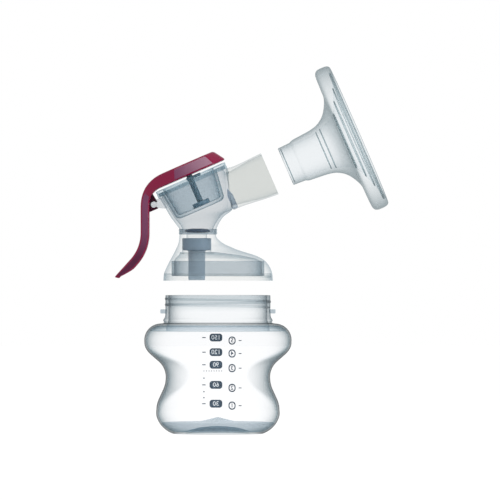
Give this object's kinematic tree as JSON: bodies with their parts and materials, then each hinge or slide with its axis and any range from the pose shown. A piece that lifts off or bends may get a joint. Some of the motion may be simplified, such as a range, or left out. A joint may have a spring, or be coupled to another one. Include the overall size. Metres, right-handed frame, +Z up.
{
  "type": "manual breast pump",
  "caption": "Manual breast pump laid out apart: clear bottle with side grips, clear pump head with silicone diaphragm, valve and curved squeeze handle, and a silicone funnel cup.",
  "frame": {"origin": "centre of the bottle's base ring, on the surface it stands on", "axes": "+Z up along the bottle's axis, +X towards the funnel cup, Y across; the XZ plane is the plane of symmetry"},
  "size_m": [0.144, 0.0808, 0.1936],
  "materials": {
    "clear_bottle_plastic": "clear, glossy",
    "clear_head_plastic": "clear, glossy",
    "blue_silicone": "translucent, satin",
    "stem_plastic": "satin",
    "burgundy_plastic": "glossy",
    "clear_silicone": "translucent, satin"
  },
  "bodies": {
    "bottle": {"bottle": "clear_bottle_plastic"},
    "pump_head": {"hood": "clear_head_plastic", "chamber": "clear_head_plastic", "cup_tube": "clear_head_plastic", "pivot_bar": "clear_head_plastic", "valve": "blue_silicone", "diaphragm": "blue_silicone"},
    "handle": {"handle": "burgundy_plastic"},
    "stem": {"stem": "stem_plastic"},
    "diaphragm_hub": {"diaphragm_hub": "stem_plastic"},
    "funnel_cup": {"funnel_cup": "clear_silicone"}
  },
  "joints": [
    {"name": "head_slide", "type": "slide", "parent": "bottle", "child": "pump_head", "axis": [0, 0, 1], "range_m": [-0.0114, 0]},
    {"name": "cup_slide", "type": "slide", "parent": "pump_head", "child": "funnel_cup", "axis": [0.9171, 0, 0.3987], "range_m": [-0.016, 0]},
    {"name": "handle_squeeze", "type": "hinge", "parent": "pump_head", "child": "handle", "pos_m": [-0.03386, 0, 0.12111], "axis": [0, -1, 0], "range_deg": [0, 20], "stiffness_Nm_per_rad": 0.05, "springref_deg": -11.46},
    {"name": "stem_swing", "type": "hinge", "parent": "handle", "child": "stem", "pos_m": [-0.01624, 0, 0.13875], "axis": [0, -1, 0], "range_deg": [-4.75, 0]},
    {"name": "diaphragm_lift", "type": "slide", "parent": "pump_head", "child": "diaphragm_hub", "axis": [-0.3987, 0, 0.9171], "range_m": [0, 0.008], "deforming": ["diaphragm"]}
  ],
  "couplings": [
    {"joint": "stem_swing", "follows": "handle_squeeze", "ratio": -0.235},
    {"joint": "diaphragm_lift", "follows": "handle_squeeze", "m_per_rad": 0.02289}
  ]
}
